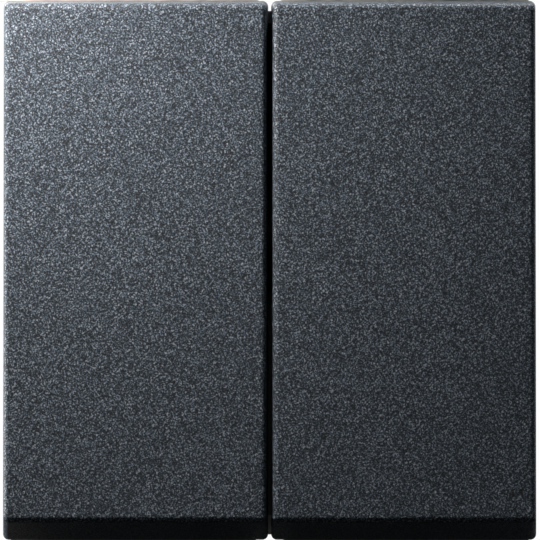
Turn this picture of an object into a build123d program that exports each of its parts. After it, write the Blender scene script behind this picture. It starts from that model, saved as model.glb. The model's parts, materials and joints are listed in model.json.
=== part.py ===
from build123d import *
from math import cos, radians, sin, tan
import os

# Two-gang rocker wall switch: a flush-mounted series switch insert with its two rocker caps.
#
# The switch hangs on a wall. +X is right, +Z is up and -Y points out of the wall into the room. The origin is
# the centre of the wall plane, which is the back face of the steel support ring. Distances called "out" are
# measured from that plane: positive towards the room, negative into the wall box.
#
# Both rockers are at rest with their top end pressed in, so the lower end of each cap stands out.

os.makedirs("parts", exist_ok=True)

GANGS = (("left", -1), ("right", 1))

# ---------------------------------------------------------------- driving dimensions, mm and degrees
# rocker caps
pair_width = 54.5  # both caps, side by side
cap_height = 55.4  # at the rim of the skirt
cap_gap = 0.3  # between the two caps
skirt_depth = 9.2  # rim to face
end_draft = 7.5  # of the top and bottom walls, so that they stay in their frame as the cap rocks
side_draft = 1.0
cap_wall = 1.5
face_thickness = 1.8
corner_radius = 0.65
face_edge_radius = 0.6
rim_clearance = 0.5  # the pressed rim stops this far from the ring
rocker_tilt = 5.0  # each way from the middle

# support ring
ring_margin = 8.25  # the ring stands this far past the caps, left and right
ring_end_margin = 7.8  # and this far past them above and below
ring_thickness = 1.2
ring_corner = 5.0
opening_margin = 6.7  # the opening for the insert starts this far inside the caps, above and below
opening_corner = 1.5
window_width = 4.4
window_margin = 1.8  # above and below the caps
window_overlap = 0.7  # how far each side window starts inside the cap's outline
slot_margin = 2.3  # caps to the middle of the wall-box screws' slots, above and below
slot_length = 5.6
slot_width = 4.0
top_mark_width = 1.2
top_mark_depth = 0.7
bead_length, bead_width, bead_height = 15.0, 2.4, 0.5
seat_depth = 0.3  # the housing's front end is let into the ring's back by this much
seat_clearance = 0.1

# front plate, which carries the rocker bearings
flange_overlap = 4.2  # past the ring's opening, above and below
flange_thickness = 1.4
plate_fit = 0.1  # collar to ring
gang_share = 0.3633  # of a cap pair's half width that lies between the middle and a gang's centre
rib_width = 5.2  # middle bearing rib
ear_thickness = 1.8
bearing_wall = 1.0
trunnion_radius = 1.5
trunnion_length = 2.2
bearing_clearance = 0.05
side_clearance = 0.35  # carrier to its ears
hub_radius = 2.2
hub_clearance = 0.2

# rocker carriers
carrier_height = 31.8
carrier_thickness = 2.2
carrier_lift = 1.2  # pivot to the back of the carrier's plate
carrier_rib = 1.2
hook_depth = 0.7
hook_thickness = 0.9
snap_clearance = 0.05
leg_width, leg_thickness = 6.0, 1.2

# plungers and their springs
plunger_radius = 1.5
plunger_length = 9.0
plunger_reach = 12.6  # pivot to the plunger's tip
plunger_clearance = 0.05
sleeve_wall = 1.1
sleeve_reach = 9.6  # pivot to the sleeve's mouth
sleeve_blind_end = 1.5
spring_wire = 0.36
spring_turns = 5

# contacts
strip_thickness = 0.8
lever_width = 4.6
lever_roof = 10.0  # slope of the lever's raised middle
lever_roof_half = 2.6
lever_arm = 9.6
lever_tilt = 8.0
lever_clearance = 0.03
rivet_radius, rivet_height, rivet_arm = 1.6, 0.7, 8.0
rivet_shank_radius, rivet_back_radius, rivet_back_height = 0.75, 1.2, 0.3
rivet_clearance = 0.04
contact_gap = 0.03  # between closed contacts
fixed_rivet_height = 0.8
bus_half_height = 2.2
bus_end_margin = 3.1  # past each gang's centre
bus_stem_half = 4.0
knife_width, knife_thickness = 3.6, 1.2
output_half = 3.5
output_start = 5.6

# terminals
terminal_margin = 1.6  # the terminals' legs to the housing's wall
wire_entry = 3.2
button_size = 3.2
terminal_pitch = 4.6  # wire entry to release button
clamp_thickness = 0.4
clamp_width = 8.4
common_clamp_width = 13.0
clamp_depth = 3.9  # wire's centre to the clamp's fixed leg
clamp_bend = 0.85
clamp_gap = 0.15
leg_clearance = 0.2
leg_stop = 3.0  # the terminals' legs stop this far short of the rear cover
button_stand = 1.6  # the button stands this far out of the rear cover
button_clearance = 0.15
button_flange, button_flange_thickness = 0.6, 1.0

# housing
housing_depth = 25.0
housing_wall = 1.6
housing_lap = 1.1  # past the ring's opening
housing_chamfer = 4.5
deck_thickness = 1.45
rear_cover_thickness = 2.0
boss_radius, boss_depth = 2.5, 9.0
screw_x, screw_offset = 11.0, 1.9
screw_radius, screw_length = 1.0, 10.6
screw_head_radius, screw_head_height = 1.8, 0.9
screw_clearance = 0.05
guide_start, guide_thickness, guide_reach = 2.5, 1.2, 2.4
latch_width, latch_thickness, latch_length, latch_nib = 5.0, 1.2, 5.0, 0.5
latch_margin = 8.7  # middle of each latch to the end of the chamber

# fixing claws
claw_offset = 3.5  # the ring's opening to the claw screw's axis
claw_screw_radius, claw_screw_length = 1.5, 16.2
claw_head_radius, claw_head_height = 2.8, 1.8
claw_start = 10.0  # the claw nut's depth behind the wall plane when the claw is slack
nut_half_width, nut_half_height, nut_half_depth = 2.2, 3.0, 2.2
nut_trunnion_radius, nut_trunnion_length = 1.1, 1.5
claw_sheet = 1.2
claw_clearance = 0.1
claw_ear_radius = 2.1
claw_web_gap = 0.3  # nut to web
claw_length = 13.0
claw_flare = 0.5
claw_teeth = 3

# ---------------------------------------------------------------- places that follow from them
tilt = radians(rocker_tilt)
flange_top = ring_thickness + flange_thickness
pivot_out = flange_top + hub_radius + hub_clearance
rim_out = ring_thickness + rim_clearance + cap_height / 2 * sin(tilt)
rim = rim_out - pivot_out  # the rocker's own heights are measured from its pivot
face = rim + skirt_depth
face_inner = face - face_thickness
cap_width = (pair_width - cap_gap) / 2
cap_x = (cap_gap + cap_width) / 2
end_inset = skirt_depth * tan(radians(end_draft))
side_inset = skirt_depth * tan(radians(side_draft))

gang_x = pair_width / 2 * gang_share
carrier_half = gang_x - rib_width / 2 - side_clearance
ear_x = gang_x + carrier_half + side_clearance + ear_thickness / 2
carrier_front = carrier_lift + carrier_thickness
bearing_radius = trunnion_radius + bearing_clearance
bearing_top = bearing_radius + bearing_wall

opening_width = 2 * (ear_x + ear_thickness / 2 + 0.6)
opening_height = cap_height - 2 * opening_margin
slot_spacing = cap_height + 2 * slot_margin
window_height = cap_height + 2 * window_margin
ring_height = cap_height + 2 * ring_end_margin
ring_width = pair_width + 2 * ring_margin
flange_width = opening_width + 4.0
flange_height = opening_height + 2 * flange_overlap
window_x = pair_width / 2 - window_overlap + window_width / 2
screw_z = opening_height / 2 + screw_offset
wall_cut = (flange_top - pivot_out + 0.35 + (flange_height / 2 + 0.7) * sin(tilt)) / cos(tilt)

sleeve_bore = plunger_radius + plunger_clearance
sleeve_radius = sleeve_bore + sleeve_wall
sleeve_swing = plunger_reach * sin(tilt)
slot_half_width = sleeve_radius + 1.0
slot_half_height = sleeve_radius + sleeve_swing + 2.0

# the lever's pivot sits where the plunger's tip just clears its roof in mid-travel
tip_centre = plunger_reach - plunger_radius
lever_angle = radians(lever_tilt)
lever_out = (
    pivot_out
    - tip_centre
    - plunger_radius
    - strip_thickness / cos(radians(lever_roof))
    - lever_clearance
)
roof_drop = lever_roof_half * tan(radians(lever_roof))
rivet_face = roof_drop + rivet_height
fixed_contact_out = (
    lever_out
    - rivet_face * cos(lever_angle)
    - (rivet_arm + rivet_radius) * sin(lever_angle)
    - contact_gap
)
strip_top = fixed_contact_out - fixed_rivet_height
deck_top = strip_top - strip_thickness
deck_bottom = deck_top - deck_thickness
stop_radius = 1.5
stop_top = (
    lever_out
    - roof_drop * cos(lever_angle)
    - (rivet_arm + stop_radius) * sin(lever_angle)
    - 2 * contact_gap
)

housing_width = opening_width + 2 * housing_lap
housing_height = opening_height + 2 * housing_lap + 0.4
inner_width = housing_width - 2 * housing_wall
inner_height = housing_height - 2 * housing_wall
latch_pitch = inner_height - 2 * latch_margin
terminal_leg = inner_height / 2 - terminal_margin - strip_thickness
terminal_height = terminal_leg - leg_clearance - wire_entry / 2
clamp_back = terminal_height - clamp_depth
leg_end = -(housing_depth - leg_stop)

claw_x = opening_width / 2 + claw_offset
claw_web_inner = nut_half_width + claw_web_gap

# the places of the wire entries and release buttons: (name, x, up, wires' x, clamp width)
TERMINALS = (
    ("left", -gang_x, -terminal_height, (-terminal_pitch / 2,), clamp_width),
    ("right", gang_x, -terminal_height, (terminal_pitch / 2,), clamp_width),
    ("common", 0.0, terminal_height, (-terminal_pitch, terminal_pitch), common_clamp_width),
)


def front_plane(out, lean=0.0):
    """A plane facing the room at a distance from the wall. Its top leans out by an angle in radians."""
    return Plane(origin=(0, -out, 0), x_dir=(1, 0, 0), z_dir=(0, -cos(lean), -sin(lean)))


def side_plane(x, out=0.0, lean=0.0):
    """A plane seen from the side: its first direction is out of the wall and its second is up."""
    return Plane(origin=(x, -out, 0), x_dir=(0, -cos(lean), -sin(lean)), z_dir=(-1, 0, 0))


def plan_plane(up):
    """A level plane: its first direction is right and its second is out of the wall."""
    return Plane(origin=(0, 0, up), x_dir=(1, 0, 0), z_dir=(0, 0, -1))


def chamfered_corners(width, height, cut):
    """The corners of a rectangle with its four corners cut off."""
    x, z = width / 2, height / 2
    return (
        (x, z - cut),
        (x - cut, z),
        (cut - x, z),
        (-x, z - cut),
        (-x, cut - z),
        (cut - x, -z),
        (x - cut, -z),
        (x, cut - z),
    )


def save(piece, name):
    """Labels a finished piece and writes it to its own file."""
    piece.label = name
    export_step(piece, f"parts/{name}.step")


def button_x(name, x):
    """A release button sits beside its wire entry, or between the two of the common terminal."""
    return x - terminal_pitch / 2 if name == "right" else x + (terminal_pitch / 2 if name == "left" else 0)


rocker = front_plane(pivot_out, -tilt)  # the rocker's own plane, through its pivot
rocker_normal = Axis(rocker.origin, rocker.z_dir)

# ---------------------------------------------------------------- support ring
with BuildPart() as support_ring:
    with BuildSketch(front_plane(0)):
        RectangleRounded(ring_width, ring_height, ring_corner)
        RectangleRounded(opening_width, opening_height, opening_corner, mode=Mode.SUBTRACT)
        with Locations((-window_x, 0), (window_x, 0)):
            RectangleRounded(window_width, window_height, 1.0, mode=Mode.SUBTRACT)
        with Locations((-slot_spacing / 2, 0), (slot_spacing / 2, 0)):
            Circle(slot_width / 2, mode=Mode.SUBTRACT)
        with Locations((0, -slot_spacing / 2), (0, slot_spacing / 2)):
            SlotOverall(slot_length, slot_width, rotation=90, mode=Mode.SUBTRACT)
        with Locations((0, slot_spacing / 2 - slot_length / 2 - top_mark_depth)):
            Rectangle(top_mark_width, 2.0, align=(Align.CENTER, Align.MIN), mode=Mode.SUBTRACT)
        with Locations((-claw_x, 0), (claw_x, 0)):
            Circle(claw_screw_radius + 0.2, mode=Mode.SUBTRACT)
        with GridLocations(2 * screw_x, 2 * screw_z, 2, 2):
            Circle(screw_radius + 0.3, mode=Mode.SUBTRACT)
    extrude(amount=ring_thickness)
    # the shallow seat that the housing's front end sits in, so the rest of the back lies flat on the wall
    with BuildSketch(front_plane(0)):
        seat_width, seat_height = housing_width + 2 * seat_clearance, housing_height + 2 * seat_clearance
        Polygon(*chamfered_corners(seat_width, seat_height, housing_chamfer), align=None)
        with GridLocations(2 * screw_x, 2 * screw_z, 2, 2):
            Circle(boss_radius + seat_clearance)
    extrude(amount=seat_depth, mode=Mode.SUBTRACT)
    # pressed stiffening beads: raised in front and hollow behind
    bead_places = GridLocations(ring_width / 2 - 3.5, ring_height - 7.4, 2, 2)
    with BuildSketch(front_plane(ring_thickness)):
        with bead_places:
            SlotOverall(bead_length, bead_width)
    extrude(amount=bead_height)
    with BuildSketch(front_plane(0)):
        with bead_places:
            SlotOverall(bead_length - 1.0, bead_width - 1.0)
    extrude(amount=bead_height, mode=Mode.SUBTRACT)
save(support_ring.part, "support_ring")

# ---------------------------------------------------------------- front plate with the rocker bearings
with BuildPart() as front_plate:
    with BuildSketch(front_plane(ring_thickness)):
        RectangleRounded(flange_width, flange_height, 2.0)
        with Locations((-claw_x, 0), (claw_x, 0)):
            Circle(claw_head_radius + 0.6, mode=Mode.SUBTRACT)
    extrude(amount=flange_thickness)
    with BuildSketch(front_plane(seat_depth)):
        RectangleRounded(opening_width - 2 * plate_fit, opening_height - 2 * plate_fit, opening_corner - plate_fit)
    extrude(amount=ring_thickness - seat_depth)
    # bearings: a middle rib for both gangs and an ear outside each
    for x, thickness in ((0, rib_width), (-ear_x, ear_thickness), (ear_x, ear_thickness)):
        with BuildSketch(side_plane(x, pivot_out)):
            Circle(bearing_top)
            with Locations(((flange_top - pivot_out - 0.4) / 2, 0)):
                Rectangle(pivot_out - flange_top + 0.4, 2 * bearing_top)
        extrude(amount=thickness / 2, both=True)
    with BuildSketch(side_plane(0, pivot_out)):
        Circle(bearing_radius)
    extrude(amount=ring_width, both=True, mode=Mode.SUBTRACT)
    with BuildSketch(front_plane(0)):
        with Locations((-gang_x, 0), (gang_x, 0)):
            Rectangle(2 * slot_half_width, 2 * slot_half_height)
    extrude(amount=flange_top + 1.0, mode=Mode.SUBTRACT)
    # shallow moulding pockets above and below the slots
    with BuildSketch(front_plane(flange_top)):
        with GridLocations(2 * gang_x, opening_height - 8.0, 2, 2):
            RectangleRounded(2 * carrier_half - 2.0, 5.0, 1.0)
    extrude(amount=-0.7, mode=Mode.SUBTRACT)
    with BuildSketch(front_plane(0)):
        with GridLocations(2 * screw_x, 2 * screw_z, 2, 2):
            Circle(screw_radius + 0.1)
    extrude(amount=flange_top, mode=Mode.SUBTRACT)
    with Locations(front_plane(flange_top - screw_head_height / 2)):
        with GridLocations(2 * screw_x, 2 * screw_z, 2, 2):
            Cone(
                screw_radius + 0.1,
                screw_head_radius + screw_clearance,
                screw_head_height,
                mode=Mode.SUBTRACT,
            )
save(front_plate.part, "front_plate")

# ---------------------------------------------------------------- screws that hold plate, ring and housing
with BuildPart() as cover_screws:
    with Locations(front_plane(flange_top - screw_head_height / 2)):
        with GridLocations(2 * screw_x, 2 * screw_z, 2, 2):
            Cone(screw_radius, screw_head_radius, screw_head_height)
    with BuildSketch(front_plane(flange_top)):
        with GridLocations(2 * screw_x, 2 * screw_z, 2, 2):
            Circle(screw_radius)
    extrude(amount=-screw_length)
    with BuildSketch(front_plane(flange_top)):
        with GridLocations(2 * screw_x, 2 * screw_z, 2, 2):
            Rectangle(2.6, 0.6)
            Rectangle(0.6, 2.6)
    extrude(amount=-0.7, mode=Mode.SUBTRACT)
save(cover_screws.part, "cover_screws")

# ---------------------------------------------------------------- housing
with BuildPart() as base_housing:
    with BuildSketch(front_plane(-housing_depth)):
        Polygon(*chamfered_corners(housing_width, housing_height, housing_chamfer), align=None)
    extrude(amount=housing_depth + seat_depth)
    with BuildSketch(front_plane(seat_depth)):
        with GridLocations(2 * screw_x, 2 * screw_z, 2, 2):
            Circle(boss_radius)
    extrude(amount=-boss_depth)
    # guides each side of the claws
    with BuildSketch(front_plane(-guide_start)):
        with GridLocations(housing_width + guide_reach, 2 * (nut_half_height + 3.0), 2, 2):
            Rectangle(guide_reach + 0.2, guide_thickness)
    extrude(amount=-(housing_depth - 1.5 - guide_start))
    # the chamber in front of the deck, and the one behind it
    with BuildSketch(front_plane(seat_depth)):
        Polygon(*chamfered_corners(inner_width, inner_height, housing_chamfer), align=None)
    extrude(amount=deck_top - seat_depth, mode=Mode.SUBTRACT)
    with BuildSketch(front_plane(-housing_depth)):
        Polygon(*chamfered_corners(inner_width, inner_height, housing_chamfer), align=None)
    extrude(amount=housing_depth + deck_bottom, mode=Mode.SUBTRACT)
    # stops for the free arm of each contact lever
    with BuildSketch(front_plane(deck_top)):
        with Locations((-gang_x, rivet_arm), (gang_x, rivet_arm)):
            Circle(stop_radius)
    extrude(amount=stop_top - deck_top)
    # a wall between the two live outputs
    with BuildSketch(front_plane(deck_top)):
        with Locations((0, -(inner_height / 4 + output_start / 2))):
            Rectangle(1.6, inner_height / 2 - output_start + 0.4)
    extrude(amount=-deck_top - 1.0)
    # backs for the clamp springs
    with BuildSketch(front_plane(deck_bottom)):
        for name, x, up, wires, width in TERMINALS:
            side = 1 if up > 0 else -1
            with Locations((x, side * (clamp_back - clamp_thickness / 2 - 0.6 - 0.05))):
                Rectangle(width, 1.2)
    extrude(amount=-(housing_depth + deck_bottom - 4.0))
    # openings through the deck for the terminal legs
    with BuildSketch(front_plane(deck_top)):
        for name, x, up, wires, width in TERMINALS:
            side = 1 if up > 0 else -1
            half = output_half if name != "common" else common_clamp_width / 2
            with Locations((x, side * (terminal_leg + strip_thickness / 2))):
                Rectangle(2 * half + 2 * leg_clearance, strip_thickness + 2 * leg_clearance)
    extrude(amount=-deck_thickness, mode=Mode.SUBTRACT)
    # windows for the rear cover's latches
    with BuildSketch(front_plane(-housing_depth + latch_length - 1.8)):
        with GridLocations(housing_width - housing_wall, latch_pitch, 2, 2):
            Rectangle(housing_wall + 0.4, latch_width + 0.4)
    extrude(amount=1.9, mode=Mode.SUBTRACT)
    with BuildSketch(front_plane(seat_depth)):
        with GridLocations(2 * screw_x, 2 * screw_z, 2, 2):
            Circle(screw_radius + screw_clearance)
    extrude(amount=-(screw_length - flange_top + seat_depth + 0.3), mode=Mode.SUBTRACT)
save(base_housing.part, "base_housing")

# ---------------------------------------------------------------- rear cover with the wire entries
with BuildPart() as rear_cover:
    with BuildSketch(front_plane(-housing_depth - rear_cover_thickness)):
        Polygon(*chamfered_corners(housing_width, housing_height, housing_chamfer), align=None)
    extrude(amount=rear_cover_thickness)
    back_edges = rear_cover.faces().sort_by(Axis.Y)[-1].edges()
    chamfer(back_edges, 0.5)
    # latches that snap into the housing's side walls
    latch_x = inner_width - latch_thickness - 0.1
    with BuildSketch(front_plane(-housing_depth)):
        with GridLocations(latch_x, latch_pitch, 2, 2):
            Rectangle(latch_thickness, latch_width)
    extrude(amount=latch_length)
    for sign in (-1, 1):
        with BuildSketch(front_plane(-housing_depth + latch_length - 1.6)):
            with Locations(*[(sign * (latch_x + latch_thickness) / 2, z) for z in (-latch_pitch / 2, latch_pitch / 2)]):
                Rectangle(2 * latch_nib, latch_width)
        extrude(amount=1.4)
    # wire entries and release button windows
    back = front_plane(-housing_depth - rear_cover_thickness)
    for name, x, up, wires, width in TERMINALS:
        with BuildSketch(back):
            with Locations(*[(x + w, up) for w in wires]):
                RectangleRounded(wire_entry, wire_entry, 0.6)
            with Locations((button_x(name, x), up)):
                Rectangle(button_size + 2 * button_clearance, button_size + 2 * button_clearance)
        extrude(amount=rear_cover_thickness, mode=Mode.SUBTRACT)
        # funnel mouths
        for w in wires:
            with BuildSketch(back) as mouth:
                with Locations((x + w, up)):
                    RectangleRounded(wire_entry + 1.0, wire_entry + 1.0, 0.9)
            with BuildSketch(back.offset(0.8)) as throat:
                with Locations((x + w, up)):
                    RectangleRounded(wire_entry, wire_entry, 0.6)
            loft(mode=Mode.SUBTRACT)
    # a raised panel in the middle of the back
    with BuildSketch(back):
        RectangleRounded(26.0, 14.0, 2.0)
    extrude(amount=-0.6)
    with BuildSketch(back.offset(-0.6)):
        RectangleRounded(22.0, 10.0, 1.2)
    extrude(amount=0.4, mode=Mode.SUBTRACT)
save(rear_cover.part, "rear_cover")

# ---------------------------------------------------------------- bus bar, shared by both gangs
with BuildPart() as common_bus_bar:
    with BuildSketch(front_plane(deck_top)):
        Rectangle(2 * (gang_x + bus_end_margin), 2 * bus_half_height)
        top = terminal_leg + strip_thickness
        with Locations((0, 0)):
            Rectangle(2 * bus_stem_half, top, align=(Align.CENTER, Align.MIN))
        with Locations((0, top)):
            Rectangle(common_clamp_width - 0.6, 4.0, align=(Align.CENTER, Align.MAX))
    extrude(amount=strip_thickness)
    with BuildSketch(front_plane(strip_top)):
        with Locations((0, terminal_leg + strip_thickness / 2)):
            Rectangle(common_clamp_width - 0.6, strip_thickness)
    extrude(amount=leg_end - strip_top)
    # knife edges that the contact levers rock on
    for name, sign in GANGS:
        with BuildSketch(side_plane(sign * gang_x)):
            with BuildLine():
                Polyline(
                    (strip_top - 0.2, -knife_thickness / 2),
                    (lever_out - knife_thickness, -knife_thickness / 2),
                    (lever_out - 0.02, 0),
                    (lever_out - knife_thickness, knife_thickness / 2),
                    (strip_top - 0.2, knife_thickness / 2),
                    close=True,
                )
            make_face()
        extrude(amount=knife_width / 2, both=True)
save(common_bus_bar.part, "common_bus_bar")

# ---------------------------------------------------------------- terminals: clamp springs and release buttons
for name, x, up, wires, width in TERMINALS:
    side = 1 if up > 0 else -1
    bend = -housing_depth - 0.3
    tip = terminal_leg - clamp_gap - clamp_thickness / 2
    with BuildPart() as clamp_spring:
        with BuildSketch(side_plane(x)):
            with BuildLine():
                FilletPolyline(
                    (deck_bottom - 0.8, side * clamp_back),
                    (bend, side * clamp_back),
                    (deck_bottom - 2.6, side * tip),
                    radius=clamp_bend,
                )
            trace(line_width=clamp_thickness)
        extrude(amount=width / 2, both=True)
    save(clamp_spring.part, f"{name}_clamp_spring")

    bx = button_x(name, x)
    with BuildPart() as release_button:
        with BuildSketch(front_plane(-housing_depth - rear_cover_thickness - button_stand)):
            with Locations((bx, up)):
                RectangleRounded(button_size, button_size, 0.4)
        extrude(amount=rear_cover_thickness + button_stand + 2.9)
        with BuildSketch(front_plane(-housing_depth + 0.05)):
            with Locations((bx, up)):
                Rectangle(button_size + 2 * button_flange, button_size + 2 * button_flange)
        extrude(amount=button_flange_thickness)
        # screwdriver slot in the button's back
        with BuildSketch(front_plane(-housing_depth - rear_cover_thickness - button_stand)):
            with Locations((bx, up)):
                Rectangle(2.2, 0.7)
        extrude(amount=0.6, mode=Mode.SUBTRACT)
    save(release_button.part, f"{name}_release_button")

# ---------------------------------------------------------------- output strips and their contacts
for name, sign in GANGS:
    x = sign * gang_x
    with BuildPart() as output_strip:
        with BuildSketch(front_plane(deck_top)):
            with Locations((x, -output_start)):
                Rectangle(
                    2 * output_half,
                    terminal_leg + strip_thickness - output_start,
                    align=(Align.CENTER, Align.MAX),
                )
            with Locations((x, -rivet_arm)):
                Circle(rivet_shank_radius + rivet_clearance, mode=Mode.SUBTRACT)
        extrude(amount=strip_thickness)
        with BuildSketch(front_plane(strip_top)):
            with Locations((x, -terminal_leg - strip_thickness / 2)):
                Rectangle(2 * output_half, strip_thickness)
        extrude(amount=leg_end - strip_top)
    save(output_strip.part, f"{name}_output_strip")

with BuildPart() as fixed_contacts:
    with BuildSketch(front_plane(strip_top)):
        with Locations((-gang_x, -rivet_arm), (gang_x, -rivet_arm)):
            Circle(rivet_radius)
    extrude(amount=fixed_rivet_height)
    with BuildSketch(front_plane(strip_top)):
        with Locations((-gang_x, -rivet_arm), (gang_x, -rivet_arm)):
            Circle(rivet_shank_radius)
    extrude(amount=-strip_thickness)
save(fixed_contacts.part, "fixed_contacts")

# ---------------------------------------------------------------- contact levers, closed at rest
for name, sign in GANGS:
    x = sign * gang_x
    lever_side = side_plane(x, lever_out, lever_angle)
    lever_front = front_plane(lever_out, lever_angle)
    roof_top = strip_thickness / cos(radians(lever_roof))
    with BuildPart() as contact_lever:
        with BuildSketch(lever_side):
            with BuildLine():
                Polyline(
                    (0, 0),
                    (-roof_drop, lever_roof_half),
                    (-roof_drop, lever_arm),
                    (-roof_drop + strip_thickness, lever_arm),
                    (-roof_drop + strip_thickness, lever_roof_half),
                    (roof_top, 0),
                    (-roof_drop + strip_thickness, -lever_roof_half),
                    (-roof_drop + strip_thickness, -lever_arm),
                    (-roof_drop, -lever_arm),
                    (-roof_drop, -lever_roof_half),
                    close=True,
                )
            make_face()
        extrude(amount=lever_width / 2, both=True)
        with BuildSketch(lever_front.offset(-roof_drop)):
            with Locations((x, -rivet_arm)):
                Circle(rivet_shank_radius + rivet_clearance)
        extrude(amount=strip_thickness, mode=Mode.SUBTRACT)
    save(contact_lever.part, f"{name}_contact_lever")

    with BuildPart() as moving_contact:
        with BuildSketch(lever_front.offset(-roof_drop)):
            with Locations((x, -rivet_arm)):
                Circle(rivet_radius)
        extrude(amount=-rivet_height)
        with BuildSketch(lever_front.offset(-roof_drop)):
            with Locations((x, -rivet_arm)):
                Circle(rivet_shank_radius)
        extrude(amount=strip_thickness)
        with BuildSketch(lever_front.offset(strip_thickness - roof_drop)):
            with Locations((x, -rivet_arm)):
                Circle(rivet_back_radius)
        extrude(amount=rivet_back_height)
    save(moving_contact.part, f"{name}_moving_contact")

# ---------------------------------------------------------------- rockers: cap, carrier, plunger and spring
for name, sign in GANGS:
    x = sign * gang_x
    rocker_side = side_plane(x, pivot_out, -tilt)

    with BuildPart() as rocker_cap:
        with BuildSketch(rocker.offset(rim)):
            with Locations((sign * cap_x, 0)):
                RectangleRounded(cap_width, cap_height, corner_radius)
        with BuildSketch(rocker.offset(face)):
            with Locations((sign * cap_x, 0)):
                RectangleRounded(cap_width - 2 * side_inset, cap_height - 2 * end_inset, corner_radius)
        loft()
        fillet(rocker_cap.faces().sort_by(rocker_normal)[-1].edges(), face_edge_radius)
        hollow = face_inner - rim
        inner_side = side_inset * hollow / skirt_depth
        inner_end = end_inset * hollow / skirt_depth
        with BuildSketch(rocker.offset(rim)):
            with Locations((sign * cap_x, 0)):
                Rectangle(cap_width - 2 * cap_wall, cap_height - 2 * cap_wall)
        with BuildSketch(rocker.offset(face_inner)):
            with Locations((sign * cap_x, 0)):
                Rectangle(
                    cap_width - 2 * cap_wall - 2 * inner_side,
                    cap_height - 2 * cap_wall - 2 * inner_end,
                )
        loft(mode=Mode.SUBTRACT)
        # the skirt's wall next to the other cap stops short of the flange, and further short of the bearing
        inner_wall_x = sign * (cap_gap / 2 + cap_wall / 2)
        with BuildSketch(rocker.offset(rim)):
            with Locations((inner_wall_x, 0)):
                Rectangle(cap_wall + 1.0, flange_height + 1.4)
        extrude(amount=wall_cut - rim, mode=Mode.SUBTRACT)
        with BuildSketch(rocker.offset(rim)):
            with Locations((inner_wall_x, 0)):
                Rectangle(cap_wall + 1.0, 2 * (bearing_top + 1.0))
        extrude(amount=bearing_top + 0.5 - rim, mode=Mode.SUBTRACT)
        # ribs that rest on the carrier
        with BuildSketch(rocker.offset(carrier_front)):
            with Locations((x, 0)):
                Rectangle(2 * carrier_half - 1.0, carrier_height - 4.0)
                Rectangle(2 * carrier_half - 3.0, carrier_height - 6.0, mode=Mode.SUBTRACT)
                Rectangle(2 * carrier_half - 2.0, 1.0)
        extrude(amount=face_inner - carrier_front)
        # stiffening ribs across the overhanging side
        with BuildSketch(rocker.offset(face_inner - 1.6)):
            rib_start = gang_x + carrier_half - 0.6
            rib_end = cap_gap / 2 + cap_width - cap_wall
            with Locations(*[(sign * (rib_start + rib_end) / 2, z) for z in (-12.0, 0.0, 12.0)]):
                Rectangle(rib_end - rib_start, 1.0)
        extrude(amount=1.6)
        # snap legs that hook under the carrier's ends
        hook_base = carrier_lift - snap_clearance - hook_thickness
        leg_centre = carrier_height / 2 + snap_clearance + leg_thickness / 2
        with BuildSketch(rocker.offset(hook_base)):
            with Locations((x, -leg_centre), (x, leg_centre)):
                Rectangle(leg_width, leg_thickness)
        extrude(amount=face_inner - hook_base)
        hook_centre = carrier_height / 2 + snap_clearance - hook_depth / 2
        with BuildSketch(rocker.offset(hook_base)):
            with Locations((x, -hook_centre), (x, hook_centre)):
                Rectangle(leg_width, hook_depth + 0.1)
        extrude(amount=hook_thickness)
    save(rocker_cap.part, f"{name}_rocker_cap")

    with BuildPart() as rocker_carrier:
        with BuildSketch(rocker.offset(carrier_lift)):
            with Locations((x, 0)):
                RectangleRounded(2 * carrier_half, carrier_height, 1.0)
        extrude(amount=carrier_thickness)
        # stiffening ribs along both long sides, clear of the snap hooks
        with BuildSketch(rocker.offset(carrier_lift - carrier_rib)):
            with Locations(*[(x + s * (carrier_half - 0.6), 0) for s in (-1, 1)]):
                Rectangle(1.2, carrier_height - 5.0)
        extrude(amount=carrier_rib)
        with BuildSketch(rocker_side):
            Circle(hub_radius)
        extrude(amount=carrier_half, both=True)
        with BuildSketch(rocker_side):
            Circle(trunnion_radius)
        extrude(amount=carrier_half + trunnion_length, both=True)
        with BuildSketch(rocker.offset(-sleeve_reach)):
            with Locations((x, 0)):
                Circle(sleeve_radius)
        extrude(amount=sleeve_reach + carrier_lift)
        with BuildSketch(rocker.offset(-sleeve_reach)):
            with Locations((x, 0)):
                Circle(sleeve_bore)
        extrude(amount=sleeve_reach + sleeve_blind_end, mode=Mode.SUBTRACT)
    save(rocker_carrier.part, f"{name}_rocker_carrier")

    plunger_top = plunger_length - plunger_reach
    with BuildPart() as plunger:
        with BuildSketch(rocker.offset(-tip_centre)):
            with Locations((x, 0)):
                Circle(plunger_radius)
        extrude(amount=tip_centre + plunger_top)
        with Locations(Plane(origin=rocker.from_local_coords(Vector(x, 0, -tip_centre)), z_dir=rocker.z_dir)):
            Sphere(plunger_radius)
    save(plunger.part, f"{name}_plunger")

    spring_length = sleeve_blind_end - plunger_top - spring_wire - 0.2
    spring_base = rocker.from_local_coords(Vector(x, 0, plunger_top + spring_wire / 2 + 0.1))
    spring_mean = plunger_radius - spring_wire / 2 - 0.1
    with BuildPart() as plunger_spring:
        with BuildLine():
            coil = Helix(
                pitch=spring_length / spring_turns,
                height=spring_length,
                radius=spring_mean,
                center=spring_base,
                direction=rocker.z_dir,
            )
        with BuildSketch(Plane(origin=coil @ 0, z_dir=coil % 0)):
            Circle(spring_wire / 2)
        sweep(is_frenet=True)
    save(plunger_spring.part, f"{name}_plunger_spring")

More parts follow.
